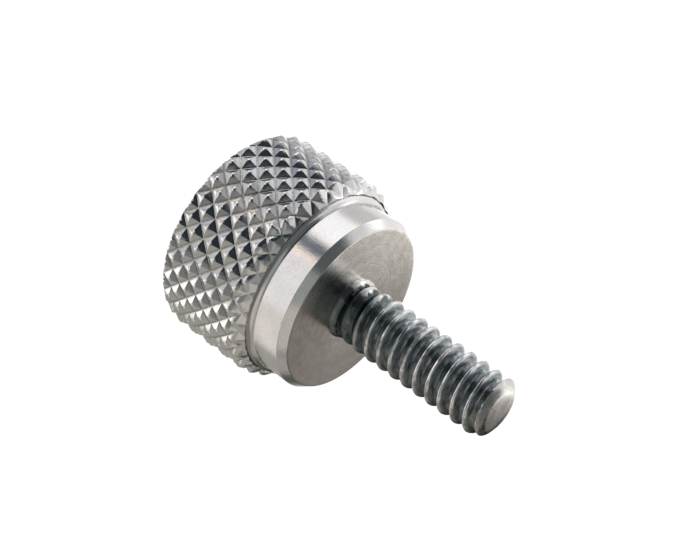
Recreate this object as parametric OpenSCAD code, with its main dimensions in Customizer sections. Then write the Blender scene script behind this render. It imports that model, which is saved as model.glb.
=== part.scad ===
// Knurled thumb screw, turned from one bar: a diamond-knurled grip, a smooth
// collar that seats on the work, and a screw shank with a chamfered tip.
// It stands on the head's flat outer face, with the shank pointing up along +Z.

/* [Grip] */
// Diameter over the crests of the knurl
head_d = 11.7; // [11.4:0.05:14]
// Length of the grip, from the flat outer face to the small end of its front chamfer
grip_len = 5.7; // [4.8:0.01:6]
// Size of the small chamfer around the flat outer face
back_edge = 0.22; // [0.15:0.01:0.3]
// Radial size of the chamfer at the front of the grip
front_edge = 0.5; // [0.3:0.01:0.5]
// Depth of the fine line turned between the grip and the neck
line_depth = 0.04; // [0.02:0.01:0.06]

/* [Knurl] */
// Grooves of each hand around the grip
knurl_count = 30; // [26:1:36]
// Height of the pyramids over the bottom of the grooves
knurl_depth = 0.25; // [0.2:0.01:0.35]
// Width of the flat at the bottom of a groove
knurl_flat = 0.1; // [0.08:0.01:0.25]
// Axial distance between one row of pyramids and the next
knurl_row = 0.6; // [0.5:0.01:0.8]
// Turn from one row to the next, past half a tooth, in degrees
knurl_lean = 0.24; // [0:0.01:0.5]
// Height of the lowest row of crossings, under the flat outer face
knurl_start = -0.56; // [-0.6:0.01:-0.05]
// Turn of the whole knurl about the axis, in degrees
knurl_turn = 8.65; // [0:0.05:12]

/* [Collar] */
// Diameter of the smooth collar
collar_d = 9.9; // [8:0.1:10]
// Height from the flat outer face to the collar's seating face
head_h = 8; // [7.8:0.01:12]
// Diameter of the flat seating face, inside the collar's chamfer
seat_d = 9.28; // [7.4:0.01:9.6]
// Length of the collar's chamfer along the axis
seat_edge = 0.44; // [0.2:0.01:0.6]
// Length of the cone that runs from the grip's chamfer in to the collar
neck_len = 0.25; // [0.15:0.01:0.35]

/* [Shank] */
// Outer diameter of the screw thread
thread_d = 3.32; // [2.5:0.01:6]
// Length of the shank, from the seating face to the tip
shank_len = 9.65; // [5:0.05:25]
// Diameter of the flat end of the tip
tip_d = 2.15; // [1.2:0.01:2.2]
// Length of the chamfered tip
tip_len = 0.45; // [0.4:0.01:1]

/* [Hidden] */

head_r = head_d / 2;
collar_r = collar_d / 2;
root_r = head_r - knurl_depth;

// The knurl. Each row has knurl_count crossings of the grooves and as many
// pyramids between them; a row's pyramids stand over the crossings below it.
half = 180 / knurl_count;
pitch_n = (half * PI / 180 * root_r) * 2 * knurl_row
    / norm([half * PI / 180 * root_r, knurl_row]);
base = 1 - knurl_flat / pitch_n;
rows = ceil((grip_len - knurl_start) / knurl_row) + 1;

function at(r, a, z) = [r * cos(a), r * sin(a), z];
function row_a(k) = knurl_turn - k * (half + knurl_lean);
function row_z(k) = knurl_start + k * knurl_row;
// Left and right ends of a crossing, and a pyramid's point, in one row
function cross_l(k, m) = at(root_r, row_a(k) + 2 * half * m - (1 - base) * half, row_z(k));
function cross_r(k, m) = at(root_r, row_a(k) + 2 * half * m + (1 - base) * half, row_z(k));
function point(k, m) = at(head_r, row_a(k) + 2 * half * m + half, row_z(k));
// Upper and lower corners of a pyramid's foot
function foot_u(k, m) = at(root_r, row_a(k) + 2 * half * m + half - knurl_lean * base, row_z(k) + base * knurl_row);
function foot_d(k, m) = at(root_r, row_a(k) + 2 * half * m + half + knurl_lean * base, row_z(k) - base * knurl_row);

// Index of each of those in the list of points, five to a tooth
function n_at(k, m, i) = 5 * (k * knurl_count + (m + knurl_count) % knurl_count) + i;

knurl_points = [for (k = [0:rows]) for (m = [0:knurl_count - 1])
    each [cross_l(k, m), cross_r(k, m), point(k, m),
          k < rows ? foot_u(k, m) : at(root_r / 2, 2 * half * m, row_z(k) - 1),
          k > 0 ? foot_d(k, m) : at(root_r / 2, 2 * half * m, row_z(k) + 1)]];

knurl_faces = concat(
    [for (k = [0:rows - 1]) for (m = [0:knurl_count - 1]) each [
        [n_at(k, m, 2), n_at(k, m, 1), n_at(k, m, 3)],
        [n_at(k, m, 2), n_at(k, m, 3), n_at(k, m + 1, 0)],
        [n_at(k + 1, m, 2), n_at(k + 1, m + 1, 0), n_at(k + 1, m, 4)],
        [n_at(k + 1, m, 2), n_at(k + 1, m, 4), n_at(k + 1, m, 1)],
        [n_at(k, m + 1, 0), n_at(k, m, 3), n_at(k + 1, m + 1, 1)],
        [n_at(k, m + 1, 0), n_at(k + 1, m + 1, 1), n_at(k + 1, m + 1, 4)],
        [n_at(k, m, 1), n_at(k + 1, m, 4), n_at(k + 1, m + 1, 0)],
        [n_at(k, m, 1), n_at(k + 1, m + 1, 0), n_at(k, m, 3)],
        [n_at(k, m, 0), n_at(k + 1, m, 4), n_at(k, m, 1)],
        [n_at(k + 1, m + 1, 0), n_at(k + 1, m + 1, 1), n_at(k, m, 3)]]],
    [[for (m = [0:knurl_count - 1]) each [n_at(0, m, 0), n_at(0, m, 1), n_at(0, m, 2)]],
     [for (m = [knurl_count - 1:-1:0]) each [n_at(rows, m, 2), n_at(rows, m, 1), n_at(rows, m, 0)]]]);

// Bar knurled over its whole length, before its ends are turned
module knurled_bar() {
    polyhedron(points = knurl_points, faces = knurl_faces, convexity = 10);
}

// Outline that the ends of the grip are turned to
module grip_outline() {
    over = 0.3;
    polygon([
        [0, 0],
        [head_r - back_edge, 0],
        [head_r + over, back_edge + over],
        [head_r + over, grip_len - 1.2 * (front_edge + over)],
        [head_r - front_edge, grip_len],
        [head_r - front_edge - 0.1, grip_len - line_depth],
        [collar_r - 0.6, grip_len - 0.3],
        [0, grip_len - 0.3]]);
}

// Neck, collar and shank, as turned
module collar_outline() {
    rim_r = head_r - front_edge;
    tip_z = head_h + shank_len;
    polygon([
        [0, grip_len - 1.2],
        [rim_r - 0.1, grip_len - 1.2],
        [rim_r - 0.1, grip_len - line_depth],
        [rim_r - 0.13, grip_len],
        [collar_r, grip_len + neck_len],
        [collar_r, head_h - seat_edge],
        [seat_d / 2, head_h],
        [thread_d / 2, head_h],
        [thread_d / 2, tip_z - tip_len],
        [max(thread_d / 2 - 0.2, tip_d / 2), tip_z - tip_len + 0.2],
        [tip_d / 2, tip_z],
        [0, tip_z]]);
}

module thumb_screw() {
    color([0.78, 0.76, 0.73]) union() {
        intersection() {
            knurled_bar();
            rotate_extrude($fn = 128) grip_outline();
        }
        rotate_extrude($fn = 128) collar_outline();
    }
}

thumb_screw();
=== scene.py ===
import math

import bmesh
import bpy
import numpy as np
from mathutils import Matrix, Vector
from mathutils.geometry import delaunay_2d_cdt


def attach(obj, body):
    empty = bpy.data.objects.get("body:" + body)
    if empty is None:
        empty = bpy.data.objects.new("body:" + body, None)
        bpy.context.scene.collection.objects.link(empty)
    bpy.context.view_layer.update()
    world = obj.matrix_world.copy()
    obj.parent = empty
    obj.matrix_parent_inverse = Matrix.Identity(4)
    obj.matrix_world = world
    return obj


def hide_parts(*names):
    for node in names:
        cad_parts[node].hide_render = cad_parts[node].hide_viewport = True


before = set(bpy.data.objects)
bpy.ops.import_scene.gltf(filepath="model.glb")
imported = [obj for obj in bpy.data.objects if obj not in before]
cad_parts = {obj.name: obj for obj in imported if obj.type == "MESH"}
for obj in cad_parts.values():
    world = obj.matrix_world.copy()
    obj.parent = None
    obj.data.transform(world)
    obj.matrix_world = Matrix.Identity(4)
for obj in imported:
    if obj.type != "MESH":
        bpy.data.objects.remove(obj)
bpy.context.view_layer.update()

# ---------------------------------------------------------------- sizes, in mm, as in the CAD
HEAD_R, ROOT_R, GRIP_LEN = 5.85, 5.61, 5.70
BACK_EDGE, FRONT_EDGE, FRONT_SLOPE = 0.22, 0.50, 1.2
COUNT, ROW, LEAN, START, TURN = 30, 0.60, 0.24, -0.56, 8.65
COLLAR_R, HEAD_H, SEAT_R, SEAT_EDGE = 4.95, 8.0, 4.64, 0.44
GROOVE, NECK_LEN = 0.04, 0.25  # the line between grip and neck, and the neck's cone
THREAD_R, SHANK_LEN = 1.66, 9.65
PITCH = 0.79375
CREST_Z = 3.052  # a crest's height over the collar's face, on the side at -Y

def lattice_noise(x, y, seed, px=None):
    """Smooth value noise in -1..1, with x repeating after px cells."""
    r = np.random.default_rng(seed)
    table = r.uniform(-1, 1, (256, 256))
    xi, yi = np.floor(x).astype(int), np.floor(y).astype(int)
    xf, yf = x - xi, y - yi
    xf, yf = xf * xf * (3 - 2 * xf), yf * yf * (3 - 2 * yf)

    def at(i, j):
        if px:
            i = i % px
        return table[i % 256, j % 256]

    a = at(xi, yi) * (1 - xf) + at(xi + 1, yi) * xf
    b = at(xi, yi + 1) * (1 - xf) + at(xi + 1, yi + 1) * xf
    return a * (1 - yf) + b * yf


class Builder:
    """Collects points and faces, each face with its material's number."""

    def __init__(self):
        self.v, self.f, self.m, self.n = [], [], [], 0

    def add(self, pts):
        pts = np.asarray(pts, float).reshape(-1, 3)
        self.v.append(pts)
        self.n += len(pts)
        return np.arange(self.n - len(pts), self.n)

    def faces(self, faces, mat):
        for f in faces:
            self.f.append(tuple(int(i) for i in f))
            self.m.append(mat)

    def strip(self, low, high, mat):
        """Quads between two rings with the same number of points, outside to the right going up."""
        n = len(low)
        self.faces(
            [(low[i], low[(i + 1) % n], high[(i + 1) % n], high[i]) for i in range(n)],
            mat,
        )

    def zigzag(self, low, high, mat, flip=False):
        """Triangles between two rings whose points stand half a step apart: high[i] is over the gap low[i], low[i+1]."""
        n = len(low)
        out = []
        for i in range(n):
            j = (i + 1) % n
            out.append((low[i], low[j], high[i]))
            out.append((high[i], low[j], high[j]))
        self.faces(out, mat)


def ring_points(r, psi, z):
    r = np.broadcast_to(r, psi.shape)
    z = np.broadcast_to(z, psi.shape)
    return np.stack([r * np.cos(psi), r * np.sin(psi), z], 1)


TURNED, KNURL, THREAD = 0, 1, 2
b = Builder()

# ---------------------------------------------------------------- knurled grip
HALF = 180.0 / COUNT
# Lines across a cell of the knurl, from one groove to the next, as parts of the cell
LEVELS = (0.0, 0.018, 0.07, 0.20, 0.33, 0.425, 0.5, 0.575, 0.67, 0.80, 0.93, 0.982)
N = len(LEVELS)


# The rows aren't quite true: where the knurl wheel's last turn met its first they
# drift around the grip (degrees) and towards its outer end (mm).
DRIFT_AT = (-180, -145, -135, -117, -111, -105, -99, -80, -60, -27, 180)
DRIFT_TURN = (0.1, 0.1, 0.5, 0.85, 0.95, 0.85, 0.45, -0.2, -0.05, 0.6, 0.1)
DRIFT_RISE = (-0.40, -0.42, -0.38, -0.24, -0.20, -0.13, 0.02, 0.005, 0.01, -0.08, -0.40)


def drift(psi):
    a = (psi + 180) % 360 - 180
    return np.interp(a, DRIFT_AT, DRIFT_TURN), np.interp(a, DRIFT_AT, DRIFT_RISE)


def undrift(psi, z):
    """The place on a true knurl of a point on this one."""
    true = psi
    for _ in range(12):
        turn, rise = drift(true)
        true = psi - turn
    return true, z - rise


def knurl_phase(psi, z):
    """Place along each of the two families of grooves, in cells, psi in degrees."""
    k = (z - START) / ROW
    p = (psi - TURN - (HALF - LEAN) * k) / (2 * HALF)
    q = (psi - TURN + (HALF + LEAN) * k) / (2 * HALF)
    return p, q


def side_noise(i, j, side, seed):
    """One value in -1..1 for each facet of each pyramid."""
    r = np.random.default_rng(seed)
    table = r.uniform(-1, 1, (64, 64, 2))
    return table[i.astype(int) % 30, (j - i).astype(int) % 64, (side > 0).astype(int)]


def knurl_r(psi, z):
    p, q = knurl_phase(*undrift(psi, z))
    ip, iq = np.round(p), np.round(q)
    # a groove wanders a little along its length
    wp = 0.012 * lattice_noise((ip % COUNT) * 7.3 + 11, (q - p) * 0.6, 21)
    wq = 0.012 * lattice_noise((iq % COUNT) * 5.9 + 37, (q - p) * 0.6, 22)
    sp, sq = p - ip - wp, q - iq - wq
    # each facet leans a little its own way
    dp = np.abs(sp) * (1 + 0.05 * side_noise(ip, np.floor(q), sp, 31))
    dq = np.abs(sq) * (1 + 0.05 * side_noise(np.floor(p), iq, sq, 32))
    d = np.minimum(dp, dq)
    h = np.clip((d - 0.017) / 0.483, 0, 1.1)
    h = h + 0.035 * np.sin(np.pi * np.clip(h, 0, 1))
    r = ROOT_R + 0.257 * h
    # the pyramids' tops are blunt, each to its own height
    tooth = side_noise(np.floor(p), np.floor(q), p - np.floor(p) - 0.5 > 5, 33)
    top = 5.833 + 0.008 * tooth
    r = np.where(r > top, top + 0.25 * (r - top), r)
    return np.minimum(r, HEAD_R)


def grip_envelope(z):
    front = HEAD_R - FRONT_EDGE + (GRIP_LEN - z) / FRONT_SLOPE
    return np.minimum(HEAD_R, front), HEAD_R - BACK_EDGE + z


# The grip's net follows the grooves: its points stand where lines of the two
# families cross, so every groove and every ridge is a line of edges.
k_lo, k_hi = math.floor(-START / ROW) - 1, math.ceil((GRIP_LEN + 0.4 - START) / ROW) + 1
net = {}
net_psi, net_z, net_f = [], [], []


def node_at(a, c):
    """Number of the net's point on line a of the first family and line c of the second."""
    turn = a // (COUNT * N)
    key = (a - turn * COUNT * N, c - turn * COUNT * N)
    if key not in net:
        net[key] = len(net_psi)
        p = key[0] // N + LEVELS[key[0] % N]
        q = key[1] // N + LEVELS[key[1] % N]
        net_psi.append(TURN + 2 * HALF * p + (HALF - LEAN) * (q - p))
        net_z.append(START + ROW * (q - p))
    return net[key]


for i in range(COUNT):
    for j in range(i + k_lo - 1, i + k_hi + 1):
        for u in range(N):
            for v in range(N):
                a, c = i * N + u, j * N + v
                w = [node_at(a, c), node_at(a + 1, c), node_at(a + 1, c + 1), node_at(a, c + 1)]
                zs = [net_z[t] for t in w]
                if max(zs) < -0.4 or min(zs) > GRIP_LEN + 0.7:
                    continue
                if u + v == N - 1 or (u != v and (u < N / 2) == (v < N / 2)):
                    net_f += [(w[0], w[1], w[3]), (w[1], w[2], w[3])]
                else:
                    net_f += [(w[0], w[1], w[2]), (w[0], w[2], w[3])]

net_psi, net_z = np.array(net_psi), np.array(net_z)
net_turn, net_rise = drift(net_psi)
net_psi, net_z = net_psi + net_turn, net_z + net_rise
bar = bmesh.new()
used = sorted({t for f in net_f for t in f})
number = {t: n for n, t in enumerate(used)}
for t in used:
    bar.verts.new((HEAD_R * math.cos(math.radians(net_psi[t])), HEAD_R * math.sin(math.radians(net_psi[t])), net_z[t]))
bar.verts.ensure_lookup_table()
for f in net_f:
    bar.faces.new([bar.verts[number[t]] for t in f])
for z_cut, low in ((0.0, True), (GRIP_LEN, False)):
    bmesh.ops.bisect_plane(
        bar, geom=bar.verts[:] + bar.edges[:] + bar.faces[:], dist=0.006,
        plane_co=(0, 0, z_cut), plane_no=(0, 0, 1), clear_inner=low, clear_outer=not low)
bmesh.ops.triangulate(bar, faces=bar.faces[:])
bar.verts.ensure_lookup_table()
bar.verts.index_update()
flat = np.array([v.co[:] for v in bar.verts])
psi = np.degrees(np.arctan2(flat[:, 1], flat[:, 0]))
z = flat[:, 2].copy()
at_low, at_high = np.abs(z) < 0.0065, np.abs(z - GRIP_LEN) < 0.0065
z[at_low], z[at_high] = 0.0, GRIP_LEN
kr = knurl_r(psi, z)
front, back = grip_envelope(z)
# the knurl runs on over the front chamfer, shallower and shallower
cut = np.clip((HEAD_R - front) / FRONT_EDGE, 0, 1)
r = np.minimum(front - (HEAD_R - kr) * (1 - 0.70 * cut), back)
ids = b.add(ring_points(r, np.radians(psi), z))
b.faces([[ids[v.index] for v in f.verts] for f in bar.faces], KNURL)
bar.free()


def ring_of(mask):
    """The numbers and angles of the points picked by the mask, in order around the axis."""
    pick = np.nonzero(mask)[0]
    pick = pick[np.argsort(psi[pick])]
    return ids[pick], psi[pick]


def between(outer, outer_a, inner, inner_a, mat, up=True):
    """Triangles between two rings of different counts, both in order of angle in degrees."""
    out = []
    i = j = 0
    no, ni = len(outer), len(inner)
    while i < no or j < ni:
        ao = outer_a[(i + 1) % no] + (360 if i + 1 >= no else 0)
        ai = inner_a[(j + 1) % ni] + (360 if j + 1 >= ni else 0)
        if j >= ni or (i < no and ao <= ai):
            out.append((outer[i % no], outer[(i + 1) % no], inner[j % ni]))
            i += 1
        else:
            out.append((outer[i % no], inner[(j + 1) % ni], inner[j % ni]))
            j += 1
    if not up:
        out = [f[::-1] for f in out]
    b.faces(out, mat)


low_ring, low_a = ring_of(at_low)
rim, rim_a = ring_of(at_high)
NCOL = 360
ring_a = -180 + 360 / NCOL * np.arange(NCOL)
ring_psi = np.radians(ring_a)

# flat outer face, with the shallow dimple of the bar's cut-off end at its centre
inner = None
for rr, zz in ((5.36, 0.0), (5.2, 0.0), (4.0, 0.0), (2.6, 0.0), (1.2, 0.0), (0.55, 0.0), (0.42, 0.03), (0.2, 0.05)):
    cur = b.add(ring_points(rr, ring_psi, zz))
    if inner is None:
        between(low_ring, low_a, cur, ring_a, TURNED, up=False)
    else:
        b.strip(cur, inner, TURNED)
    inner = cur
hub = b.add([[0, 0, 0.055]])[0]
b.faces([(inner[(i + 1) % NCOL], inner[i], hub) for i in range(NCOL)], TURNED)

# ---------------------------------------------------------------- front face of the grip, neck and collar
rim_r = HEAD_R - FRONT_EDGE
profile = [(rim_r - 0.10, GRIP_LEN - GROOVE), (rim_r - 0.13, GRIP_LEN + 0.005)]
neck_z = GRIP_LEN + NECK_LEN
profile += [(5.15, GRIP_LEN + 0.03), (5.08, GRIP_LEN + 0.08), (5.02, neck_z - 0.10), (4.975, neck_z - 0.02)]
profile += [(COLLAR_R + 0.005, neck_z + 0.04), (COLLAR_R, neck_z + 0.08)]
top = HEAD_H - SEAT_EDGE
for zz in (6.2, 6.55, 6.95, 7.35, 7.46):
    profile.append((COLLAR_R, zz))


def rounded(p0, p1, p2, rad, n=4):
    """Points of a small arc that rounds the corner p1."""
    p0, p1, p2 = (np.array(p, float) for p in (p0, p1, p2))
    u, v = (p0 - p1) / np.linalg.norm(p0 - p1), (p2 - p1) / np.linalg.norm(p2 - p1)
    half = math.acos(float(np.clip(u @ v, -1, 1))) / 2
    t = rad / math.tan(half)
    c = p1 + (u + v) / np.linalg.norm(u + v) * rad / math.sin(half)
    s, e = p1 + u * t - c, p1 + v * t - c
    a_s, a_e = math.atan2(s[1], s[0]), math.atan2(e[1], e[0])
    d = (a_e - a_s + math.pi) % (2 * math.pi) - math.pi
    return [tuple(c + rad * np.array([math.cos(a_s + d * k / n), math.sin(a_s + d * k / n)])) for k in range(n + 1)]


profile += rounded((COLLAR_R, 6.1), (COLLAR_R, top), (SEAT_R, HEAD_H), 0.05)
for dr in (0.08, 0.13, 0.18, 0.23):
    profile.append((COLLAR_R - dr, top + dr * SEAT_EDGE / (COLLAR_R - SEAT_R)))
profile += rounded((COLLAR_R, top), (SEAT_R, HEAD_H), (2.0, HEAD_H), 0.04)
for rr in (4.5, 3.9, 3.3, 2.7, 2.3):
    profile.append((rr, HEAD_H))

# Small nicks in the collar's edges: angle, height, size, depth
NICKS = (
    (-60.4, 7.57, 0.10, 0.030),
    (-106.5, 7.93, 0.11, 0.035),
    (-131.2, 7.74, 0.13, 0.020),
    (-134.6, 7.66, 0.10, 0.025),
    (-20.0, 7.96, 0.09, 0.020),
    (60.0, 7.58, 0.10, 0.025),
    (155.0, 7.60, 0.09, 0.020),
)


def nicked(rr, zz):
    out = np.full(NCOL, float(rr))
    for a, z_n, size, deep in NICKS:
        turn = (ring_a - a + 180) % 360 - 180
        out -= deep * np.exp(-((np.radians(turn) * rr) ** 2 + (zz - z_n) ** 2) / (0.5 * size) ** 2)
    return out


prev = None
for rr, zz in profile:
    cur = b.add(ring_points(nicked(rr, zz) if 7.3 < zz < 8.01 and rr > 4.5 else rr, ring_psi, zz))
    if prev is None:
        between(rim, rim_a, cur, ring_a, TURNED)
    else:
        b.strip(prev, cur, TURNED)
    prev = cur
face_ring = prev

# ---------------------------------------------------------------- thread
TIP_KNOTS_Z = (0.0, 9.12, 9.22, 9.32, 9.45, 9.575, 9.60, 9.612)
TIP_KNOTS_R = (1.66, 1.66, 1.62, 1.545, 1.40, 1.14, 1.03, 0.90)
ROOT_FILLET = 0.30


def tip_envelope(z):
    return np.interp(z, TIP_KNOTS_Z, TIP_KNOTS_R)


def crest_z(psi):
    return CREST_Z + PITCH * (psi + 90.0) / 360.0


def smooth_step(x, lo, hi):
    x = np.clip((x - lo) / (hi - lo), 0, 1)
    return x * x * (3 - 2 * x)


def thread_r(psi, z):
    """Radius of the threaded shank, psi in degrees (-180..180) and z over the collar's face."""
    t = (z - crest_z(psi)) / PITCH
    turn = np.round(t)
    x = np.abs(t - turn) * PITCH
    # a V of 60 degrees with a rounded crest and a rounded root
    w = 0.13
    fall = math.sqrt(3) * (np.sqrt(x * x + w * w) - w)
    deep = 0.46
    fall = deep - 0.03 * np.log1p(np.exp((deep - fall) / 0.03))
    rr = THREAD_R - fall
    rr = rr + 0.008 * lattice_noise(psi * 0.06, z * 1.1, 41)
    # the thread runs out towards the collar
    full = smooth_step(z, 0.35, 2.1)
    rr = 1.53 + (rr - 1.53) * (0.30 + 0.70 * full) - 0.02 * (1 - full)
    foot = np.clip(ROOT_FILLET - z, 0, ROOT_FILLET)
    fillet = 1.56 + ROOT_FILLET - np.sqrt(np.maximum(ROOT_FILLET**2 - foot**2, 0))
    return np.where(z < ROOT_FILLET, np.maximum(fillet, rr * (z > 0.18)), rr)


PHASES = np.array([-0.5, -0.44, -0.38, -0.32, -0.27, -0.22, -0.18, -0.14, -0.10, -0.05, 0.0, 0.05, 0.10, 0.14, 0.18, 0.22, 0.27, 0.32, 0.38, 0.44])
NSEG = 132
psis = np.linspace(-180, 180, NSEG + 1)
Z_LO, Z_HI = 0.0, SHANK_LEN - 0.038
pts2, edges2 = [], []
S = 1.5 * math.pi / 180.0  # mm per degree in the flat map


def put(x, y):
    pts2.append((x, y))
    return len(pts2) - 1


lines = []
for n in range(-2, 16):
    for ph in PHASES:
        lines.append(ph + n)
for ln in lines:
    last = None
    for j, ps in enumerate(psis):
        z = crest_z(ps) + (ln - 4) * PITCH
        if Z_LO + 0.32 < z < Z_HI - 0.06:
            i = put(ps * S, z)
            if last is not None:
                edges2.append((last, i))
            last = i
        else:
            last = None
rim_ps = np.linspace(-180, 180, NSEG + 1)
lo_ids = [put(ps * S, Z_LO) for ps in rim_ps]
hi_ids = [put(ps * S, Z_HI) for ps in rim_ps]
for z in (0.008, 0.025, 0.055, 0.10, 0.155, 0.22, 0.29, 9.575, 9.60):
    ring = [put(ps * S, z) for ps in rim_ps]
    edges2 += list(zip(ring[:-1], ring[1:], strict=True))
edges2 += list(zip(lo_ids[:-1], lo_ids[1:], strict=True))
edges2 += list(zip(hi_ids[:-1], hi_ids[1:], strict=True))
verts, _, tris, orig, _, _ = delaunay_2d_cdt([Vector(p) for p in pts2], edges2, [], 0, 1e-6)
verts = np.array([(v.x, v.y) for v in verts])
ps = verts[:, 0] / S
zz = verts[:, 1]
rr = np.minimum(thread_r(ps, zz), tip_envelope(zz))
# the two sides of the map are one line on the shank
key = {}
remap = np.arange(len(verts))
left = np.abs(ps + 180) < 1e-6
right = np.abs(ps - 180) < 1e-6
zl = {round(float(zz[i]), 5): i for i in np.nonzero(left)[0]}
for i in np.nonzero(right)[0]:
    remap[i] = zl[round(float(zz[i]), 5)]
keep = np.nonzero(remap == np.arange(len(verts)))[0]
new_id = np.full(len(verts), -1)
ids = b.add(ring_points(rr[keep], np.radians(ps[keep]), zz[keep] + HEAD_H))
new_id[keep] = ids
new_id = new_id[remap]
b.faces([(new_id[t[0]], new_id[t[1]], new_id[t[2]]) for t in tris], THREAD)
lo_ring = np.array([new_id[np.argmin(np.abs(ps - p) + np.abs(zz - Z_LO) * 100)] for p in rim_ps[:-1]])
hi_ring = np.array([new_id[np.argmin(np.abs(ps - p) + np.abs(zz - Z_HI) * 100)] for p in rim_ps[:-1]])

# end of the tip, a little domed
inner = hi_ring
hp = np.radians(rim_ps[:-1])
for r_end, dz in ((0.80, 0.010), (0.62, 0.020), (0.42, 0.029), (0.20, 0.035)):
    cur = b.add(ring_points(r_end, hp, HEAD_H + Z_HI + dz))
    b.strip(inner, cur, THREAD)
    inner = cur
hub = b.add([[0, 0, HEAD_H + SHANK_LEN]])[0]
b.faces([(inner[i], inner[(i + 1) % NSEG], hub) for i in range(NSEG)], THREAD)

# the collar's face down to the shank
between(face_ring, ring_a, lo_ring, rim_ps[:-1], TURNED)

# ---------------------------------------------------------------- the piece
mesh = bpy.data.meshes.new("screw_body")
v = np.concatenate(b.v) / 1000.0
mesh.from_pydata(v.tolist(), [], b.f)
mesh.update()
screw = bpy.data.objects.new("screw_body", mesh)
bpy.context.scene.collection.objects.link(screw)
mesh.polygons.foreach_set("material_index", b.m)
mesh.polygons.foreach_set("use_smooth", [True] * len(b.f))
mesh.set_sharp_from_angle(angle=math.radians(27))


class Nodes:
    """Short hand for building a node tree. An input is a socket, a number or a tuple."""

    def __init__(self, tree):
        self.tree = tree

    def add(self, kind, inputs=(), **props):
        n = self.tree.nodes.new(kind)
        for k, v in props.items():
            setattr(n, k, v)
        for k, v in dict(inputs).items():
            self.put(n.inputs[k], v)
        return n

    def put(self, socket, v):
        if hasattr(v, "is_output"):
            self.tree.links.new(v, socket)
        else:
            socket.default_value = v

    def math(self, op, a, c=0.0, clamp=False):
        n = self.tree.nodes.new("ShaderNodeMath")
        n.operation = op
        n.use_clamp = clamp
        self.put(n.inputs[0], a)
        self.put(n.inputs[1], c)
        return n.outputs[0]

    def dot(self, a, c):
        n = self.add("ShaderNodeVectorMath", {0: a, 1: c}, operation="DOT_PRODUCT")
        return n.outputs["Value"]

    def ramp(self, v, lo, hi, out_lo=0.0, out_hi=1.0, kind="SMOOTHSTEP"):
        n = self.add("ShaderNodeMapRange", {"Value": v, "From Min": lo, "From Max": hi, "To Min": out_lo, "To Max": out_hi}, interpolation_type=kind)
        return n.outputs[0]

    def mix(self, f, a, c):
        n = self.add("ShaderNodeMix", data_type="RGBA")
        self.put(n.inputs[0], f)
        self.put(n.inputs[6], a if hasattr(a, "is_output") else (*a, 1))
        self.put(n.inputs[7], c if hasattr(c, "is_output") else (*c, 1))
        return n.outputs[2]

    def noise(self, vec, scale, detail=2.0, rough=0.5, w=None):
        n = self.add("ShaderNodeTexNoise", {"Vector": vec, "Scale": scale, "Detail": detail, "Roughness": rough}, noise_dimensions="3D" if w is None else "4D")
        if w is not None:
            self.put(n.inputs["W"], w)
        return n.outputs["Fac"]


def new_steel(name):
    m = bpy.data.materials.new(name)
    m.use_nodes = True
    nt = Nodes(m.node_tree)
    bsdf = m.node_tree.nodes["Principled BSDF"]
    bsdf.inputs["Metallic"].default_value = 1.0
    pos = nt.add("ShaderNodeTexCoord").outputs["Object"]
    mm = nt.add("ShaderNodeVectorMath", {0: pos, 1: (1000.0, 1000.0, 1000.0)}, operation="MULTIPLY").outputs[0]
    sep = nt.add("ShaderNodeSeparateXYZ", {0: mm})
    x, y, z = sep.outputs
    r = nt.math("SQRT", nt.math("ADD", nt.math("MULTIPLY", x, x), nt.math("MULTIPLY", y, y)))
    cos, sin = nt.math("DIVIDE", x, nt.math("MAXIMUM", r, 0.05)), nt.math("DIVIDE", y, nt.math("MAXIMUM", r, 0.05))
    return m, nt, bsdf, mm, r, z, cos, sin


def ring_noise(nt, r, z, cos, sin, fine, along, detail=2.0, seed=0.0):
    """Noise that changes fast across the lathe's path and slowly along it."""
    vec = nt.add("ShaderNodeCombineXYZ", {0: nt.math("MULTIPLY", cos, along), 1: nt.math("MULTIPLY", sin, along), 2: nt.math("MULTIPLY", z, fine)}).outputs[0]
    return nt.noise(vec, 1.0, detail, 0.6, w=nt.math("ADD", nt.math("MULTIPLY", r, fine), seed))


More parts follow.
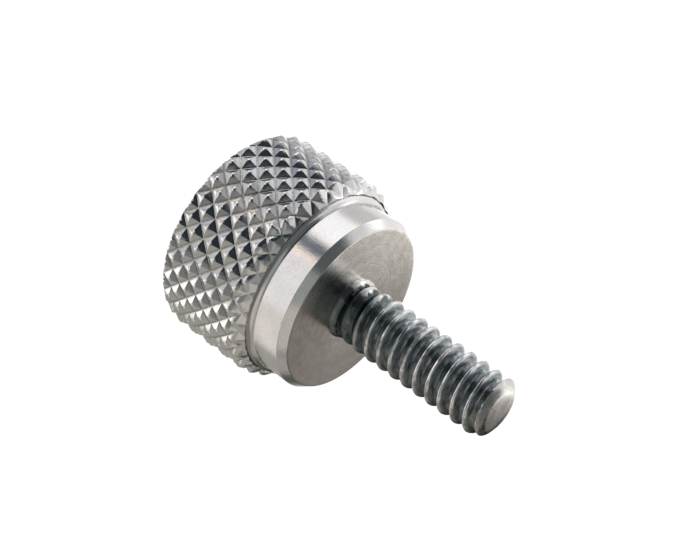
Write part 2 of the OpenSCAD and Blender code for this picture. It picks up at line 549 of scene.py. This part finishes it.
def turned_steel():
    m, nt, bsdf, mm, r, z, cos, sin = new_steel("turned_steel")
    lines = ring_noise(nt, r, z, cos, sin, 14.0, 1.2, 3.0)
    bands = ring_noise(nt, r, z, cos, sin, 1.6, 1.0, 1.0, 5.0)
    marks = ring_noise(nt, r, z, cos, sin, 2.4, 7.0, 3.0, 9.0)
    speck = nt.noise(mm, 11.0, 3.0, 0.65)
    cloud = nt.noise(mm, 0.55, 3.0, 0.55)
    face = nt.ramp(z, HEAD_H - 0.04, HEAD_H - 0.01)
    col = nt.mix(nt.ramp(cloud, 0.35, 0.68), (0.93, 0.895, 0.89), (0.83, 0.81, 0.80))
    col = nt.mix(nt.ramp(speck, 0.52, 0.72, 0.0, 0.38), col, (0.56, 0.54, 0.53))
    # the seating face is duller and mottled from the tool
    dull = nt.mix(nt.ramp(marks, 0.32, 0.68), (0.95, 0.92, 0.87), (0.78, 0.755, 0.71))
    dull = nt.mix(nt.ramp(speck, 0.52, 0.70, 0.0, 0.45), dull, (0.50, 0.485, 0.455))
    # painted shade: a dark, blotchy line along the corner between the knurl and the neck
    corner_shade = nt.math("MULTIPLY", nt.ramp(r, 5.18, 5.25), nt.ramp(z, GRIP_LEN - 0.3, GRIP_LEN - 0.1))
    corner_shade = nt.math("MULTIPLY", corner_shade, nt.ramp(speck, 0.36, 0.52, 0.25, 1.0))
    col = nt.mix(corner_shade, col, (0.27, 0.225, 0.185))
    nt.put(bsdf.inputs["Base Color"], nt.mix(face, col, dull))
    rough = nt.math("ADD", nt.ramp(lines, 0.3, 0.7, 0.10, 0.17), nt.ramp(bands, 0.3, 0.7, -0.01, 0.03))
    rough = nt.math("ADD", rough, nt.ramp(speck, 0.4, 0.7, -0.01, 0.05))
    rough = nt.math("ADD", rough, nt.math("MULTIPLY", face, nt.ramp(marks, 0.3, 0.7, 0.01, 0.07)))
    nt.put(bsdf.inputs["Roughness"], rough)
    height = nt.math("ADD", nt.math("MULTIPLY", lines, 0.6), nt.math("MULTIPLY", speck, 0.8))
    height = nt.math("ADD", height, nt.math("MULTIPLY", face, nt.math("MULTIPLY", marks, 0.8)))
    bump = nt.add("ShaderNodeBump", {"Height": height, "Strength": 0.30, "Distance": 0.00002})
    nt.put(bsdf.inputs["Normal"], bump.outputs[0])
    bsdf.inputs["Anisotropic"].default_value = 0.55
    bsdf.inputs["Anisotropic Rotation"].default_value = 0.25
    tan = nt.add("ShaderNodeTangent", direction_type="RADIAL", axis="Z")
    nt.put(bsdf.inputs["Tangent"], tan.outputs[0])
    return m


def knurled_steel():
    m, nt, bsdf, mm, r, z, cos, sin = new_steel("knurled_steel")
    speck = nt.noise(mm, 9.0, 3.0, 0.65)
    cloud = nt.noise(mm, 0.5, 2.0, 0.5)
    col = nt.mix(nt.ramp(cloud, 0.35, 0.65), (0.88, 0.86, 0.84), (0.79, 0.775, 0.755))
    # painted shade: the knurl's grooves darkened towards their bottoms, away from the front edge
    low = nt.math("MULTIPLY", nt.ramp(r, ROOT_R + 0.07, ROOT_R), nt.ramp(speck, 0.35, 0.6, 0.35, 0.8))
    low = nt.math("MULTIPLY", low, nt.ramp(z, GRIP_LEN - 0.45, GRIP_LEN - 0.75))
    col = nt.mix(low, col, (0.30, 0.285, 0.27))
    nt.put(bsdf.inputs["Base Color"], col)
    nt.put(bsdf.inputs["Roughness"], nt.ramp(speck, 0.3, 0.7, 0.08, 0.17))
    bump = nt.add("ShaderNodeBump", {"Height": speck, "Strength": 0.22, "Distance": 0.00002})
    nt.put(bsdf.inputs["Normal"], bump.outputs[0])
    return m


def threaded_steel():
    m, nt, bsdf, mm, r, z, cos, sin = new_steel("threaded_steel")
    speck = nt.noise(mm, 7.0, 3.0, 0.65)
    grain = ring_noise(nt, r, z, cos, sin, 6.0, 2.2, 2.0, 3.0)
    patch = nt.noise(mm, 2.2, 3.0, 0.55)
    cone = nt.ramp(z, HEAD_H + 9.2, HEAD_H + 9.32)
    start = nt.ramp(z, HEAD_H + 2.4, HEAD_H + 1.0)
    # bright crests with duller patches; painted shade darkens the flanks and valleys, streaked along the
    # thread, and darker still where the thread runs out
    side = nt.ramp(nt.math("ADD", r, nt.ramp(patch, 0.3, 0.7, -0.02, 0.02)), 1.62, 1.51)
    root_shade = nt.ramp(r, 1.42, 1.28)
    col = nt.mix(nt.ramp(patch, 0.40, 0.62), (0.93, 0.915, 0.91), (0.52, 0.53, 0.55))
    col = nt.mix(side, col, nt.mix(nt.ramp(grain, 0.36, 0.64), (0.13, 0.155, 0.17), (0.36, 0.39, 0.405)))
    col = nt.mix(root_shade, col, nt.mix(nt.ramp(grain, 0.36, 0.64), (0.26, 0.29, 0.305), (0.56, 0.58, 0.585)))
    # painted light on the run-out: a painted highlight on its crests on one side only, painted shade everywhere else
    # on it
    highlight_side = nt.ramp(nt.math("ADD", nt.math("MULTIPLY", cos, -0.94), nt.math("MULTIPLY", sin, 0.34)), 0.10, 0.62, 0.12, 1.0)
    runout_crest = nt.ramp(nt.math("ADD", r, nt.ramp(patch, 0.3, 0.7, -0.09, 0.09)), 1.47, 1.57)
    runout_light_and_shade = nt.mix(nt.math("MULTIPLY", runout_crest, highlight_side), (0.09, 0.115, 0.12), (0.95, 0.92, 0.91))
    col = nt.mix(start, col, runout_light_and_shade)
    cloud = nt.noise(mm, 1.6, 2.0, 0.5)
    col = nt.mix(cone, col, nt.mix(nt.ramp(cloud, 0.38, 0.62), (0.97, 0.93, 0.90), (0.74, 0.71, 0.685)))
    nt.put(bsdf.inputs["Base Color"], col)
    rough = nt.math("ADD", nt.ramp(speck, 0.3, 0.7, 0.07, 0.16), nt.ramp(r, 1.62, 1.52, 0.0, 0.10))
    nt.put(bsdf.inputs["Roughness"], nt.math("ADD", rough, nt.math("MULTIPLY", cone, 0.04)))
    height = nt.math("ADD", nt.math("MULTIPLY", speck, 0.5), nt.math("MULTIPLY", grain, 0.5))
    height = nt.math("MULTIPLY", height, nt.ramp(cone, 0.0, 1.0, 1.0, 0.35))
    height = nt.math("ADD", height, nt.math("MULTIPLY", nt.math("MULTIPLY", start, patch), 3.0))
    bump = nt.add("ShaderNodeBump", {"Height": height, "Strength": 0.35, "Distance": 0.00003})
    nt.put(bsdf.inputs["Normal"], bump.outputs[0])
    return m


for m in (turned_steel(), knurled_steel(), threaded_steel()):
    mesh.materials.append(m)

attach(screw, "root")
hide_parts("thumb_screw")

# ---------------------------------------------------------------- floor
fm = bpy.data.meshes.new("floor")
fm.from_pydata([(-1, -1, 0), (1, -1, 0), (1, 1, 0), (-1, 1, 0)], [], [(0, 1, 2, 3)])
floor = bpy.data.objects.new("floor", fm)
bpy.context.scene.collection.objects.link(floor)
mat = bpy.data.materials.new("floor_white")
mat.use_nodes = True
fn = Nodes(mat.node_tree)
glow = fn.add("ShaderNodeEmission", {"Color": (1.0, 1.0, 1.0, 1.0), "Strength": 1.0})
matt = fn.add("ShaderNodeBsdfDiffuse", {"Color": (0.12, 0.12, 0.12, 1.0)})
both = fn.add("ShaderNodeAddShader", {0: glow.outputs[0], 1: matt.outputs[0]})
fn.put(mat.node_tree.nodes["Material Output"].inputs[0], both.outputs[0])
fm.materials.append(mat)
# The floor shows to the camera only: the steel sees the studio's light all around it.
floor.visible_glossy = False
floor.visible_shadow = False
floor.visible_diffuse = False

# ---------------------------------------------------------------- camera
AL, PH, F_PX = math.radians(34.731), math.radians(61.139), 1432.0
T = np.array([0.528, 1.951, 72.36])
d = np.array([math.sin(PH) * math.cos(AL), math.sin(PH) * math.sin(AL), -math.cos(PH)])
e2 = np.array([-math.sin(AL), math.cos(AL), 0.0])
e1 = np.cross(d, e2)
M = np.stack([e2, e1, d], 1)  # row frame to camera (x right, y down, z forward)
t0 = T - HEAD_H * d
cam_pos = -M.T @ t0 / 1000.0
rot = np.stack([M[0], -M[1], -M[2]], 1)
cam_data = bpy.data.cameras.new("camera")
cam_data.sensor_width = 36.0
cam_data.lens = 36.0 * F_PX / 684.0
cam = bpy.data.objects.new("camera", cam_data)
bpy.context.scene.collection.objects.link(cam)
mw = Matrix.Identity(4)
for i in range(3):
    for k in range(3):
        mw[i][k] = rot[i, k]
    mw[i][3] = cam_pos[i]
cam.matrix_world = mw
cam_data.clip_start, cam_data.clip_end = 0.005, 5.0
bpy.context.scene.camera = cam

# ---------------------------------------------------------------- light
# A studio of soft panels and dark flags around the screw, drawn in the sky: each
# is a patch with soft edges at an azimuth and an elevation in degrees.
world = bpy.data.worlds.new("studio")
bpy.context.scene.world = world
world.use_nodes = True
wt = Nodes(world.node_tree)
sky = wt.add("ShaderNodeTexCoord").outputs["Generated"]
sky_z = wt.add("ShaderNodeSeparateXYZ", {0: sky}).outputs[2]
flat_len = wt.math("SQRT", wt.math("MAXIMUM", wt.math("SUBTRACT", 1.0, wt.math("MULTIPLY", sky_z, sky_z)), 1e-4))


def oval(az, el, wide, high, soft, turn=0.0):
    """Soft oval patch: half its width and height in degrees, and its turn."""
    az, el, turn = math.radians(az), math.radians(el), math.radians(turn)
    c = np.array([math.cos(el) * math.cos(az), math.cos(el) * math.sin(az), math.sin(el)])
    right = np.array([-math.sin(az), math.cos(az), 0.0])
    up = np.cross(c, right)
    right, up = right * math.cos(turn) + up * math.sin(turn), up * math.cos(turn) - right * math.sin(turn)
    x = wt.dot(sky, tuple(right / math.sin(math.radians(wide))))
    y = wt.dot(sky, tuple(up / math.sin(math.radians(high))))
    d = wt.math("SQRT", wt.math("ADD", wt.math("MULTIPLY", x, x), wt.math("MULTIPLY", y, y)))
    front = wt.math("GREATER_THAN", wt.dot(sky, tuple(c)), 0.0)
    return wt.math("MULTIPLY", wt.ramp(d, 1 + soft, 1 - soft), front)


def band(az, half, el_lo, el_hi, soft_az, soft_el):
    """Soft band between two elevations, out to half degrees each side of an azimuth."""
    a = math.radians(az)
    c = wt.math("DIVIDE", wt.dot(sky, (math.cos(a), math.sin(a), 0.0)), flat_len)
    side = 1.0 if half >= 180 else wt.ramp(c, math.cos(math.radians(min(180, half + soft_az))), math.cos(math.radians(half - soft_az)))

    def edge(el, s):
        return math.sin(math.radians(max(-90, min(90, el + s))))

    m = side
    if el_lo > -90:
        m = wt.math("MULTIPLY", m, wt.ramp(sky_z, edge(el_lo, -soft_el), edge(el_lo, soft_el)))
    if el_hi < 90:
        m = wt.math("MULTIPLY", m, wt.ramp(sky_z, edge(el_hi, soft_el), edge(el_hi, -soft_el)))
    return m


light = (0.37, 0.37, 0.39)
for mask, colour in (
    (band(0, 180, -90, -14, 0, 6), (0.83, 0.82, 0.75)),  # pale table below
    (band(-90, 60, -90, -54, 10, 6), (0.57, 0.60, 0.62)),  # its part under the camera
    (band(8, 38, -90, -54, 10, 6), (1.38, 1.38, 1.35)),  # its lit part on the right
    (band(88, 42, -90, -54, 10, 6), (1.60, 1.60, 1.60)),  # its lit part behind the screw
    (band(170, 40, -90, -54, 8, 5), (0.33, 0.36, 0.42)),  # its dark end on the left
    (band(-160, 24, -54, -14, 7, 6), (1.12, 1.13, 1.15)),  # white card, low on the left
    (band(-75, 38, -54, -14, 7, 6), (0.86, 0.85, 0.86)),  # white card, low in front
    (band(-8, 30, -54, -14, 7, 6), (0.73, 0.70, 0.66)),  # its end on the right
    (band(50, 28, -54, -14, 7, 6), (0.35, 0.34, 0.31)),  # gap between the cards
    (band(98, 18, -54, -35, 6, 5), (1.60, 1.60, 1.60)),  # white card behind, low
    (band(98, 18, -35, -14, 6, 5), (1.25, 1.27, 1.25)),  # its upper part
    (band(128, 13, -54, -14, 6, 5), (0.80, 0.81, 0.80)),  # its left part
    (band(158, 18, -54, -35, 6, 5), (0.18, 0.20, 0.23)),  # shaded end of it, low
    (band(158, 18, -35, -14, 6, 5), (0.60, 0.59, 0.59)),  # and above
    (band(-123, 10, -46, -12, 3, 6), (0.15, 0.17, 0.20)),  # stand between the cards
    (band(-110, 4, -44, -16, 3, 6), (1.05, 0.92, 0.82)),  # warm edge of the front card
    (band(-120, 32, -14, 18, 7, 5), (0.02, 0.03, 0.04)),  # dark flag on the near left
    (band(-60, 28, -14, 18, 7, 5), (0.19, 0.20, 0.20)),  # grey flag on the near right
    (band(3, 38, -14, 18, 7, 5), (0.35, 0.34, 0.32)),  # room on the right
    (band(55, 13, -14, 18, 6, 5), (0.09, 0.10, 0.08)),  # dark doorway
    (band(80, 13, -14, 18, 6, 5), (0.01, 0.01, 0.01)),  # black flag beside it
    (band(123, 30, -14, 2, 6, 5), (0.89, 0.90, 0.93)),  # foot of the main soft box
    (band(165, 12, -14, 2, 6, 5), (0.73, 0.75, 0.80)),  # its left corner
    (band(-170, 13, -14, 2, 6, 5), (0.36, 0.36, 0.38)),  # grey wall on the left
    (band(123, 30, 2, 18, 6, 5), (0.93, 0.92, 0.88)),  # main soft box, middle
    (band(165, 12, 2, 18, 6, 5), (1.42, 1.44, 1.48)),  # its bright cool edge
    (band(-170, 13, 2, 18, 6, 5), (0.52, 0.55, 0.57)),  # wall beside it
    (band(-130, 32, 18, 54, 7, 5), (0.09, 0.10, 0.10)),  # dark flag above
    (band(-75, 25, 18, 54, 7, 5), (0.30, 0.32, 0.31)),  # grey wall above, in front
    (band(-20, 30, 18, 54, 7, 5), (0.51, 0.49, 0.44)),  # warm wall above, on the right
    (band(33, 25, 18, 54, 7, 5), (0.21, 0.20, 0.17)),  # dark wall
    (band(70, 12, 18, 54, 6, 5), (0.01, 0.01, 0.01)),  # narrow black flag
    (band(88, 7, 18, 54, 4, 5), (0.21, 0.19, 0.18)),  # gap beside it
    (band(106, 11, 18, 54, 5, 5), (1.30, 1.29, 1.24)),  # main soft box, upper part
    (band(140, 23, 18, 54, 6, 5), (0.96, 0.96, 0.96)),  # its soft end
    (band(-178, 18, 18, 54, 7, 5), (0.67, 0.67, 0.68)),  # wall lit by it
    (band(0, 180, 54, 90, 0, 6), (0.10, 0.11, 0.115)),  # dark ceiling
):
    light = wt.mix(mask, light, colour)
back = world.node_tree.nodes["Background"]
seen = wt.add("ShaderNodeLightPath").outputs["Is Camera Ray"]
wt.put(back.inputs[0], wt.mix(seen, light, (0.96, 0.96, 0.96)))
bpy.context.scene.view_settings.view_transform = "Standard"

print("tris", sum(len(f) - 2 for f in b.f))
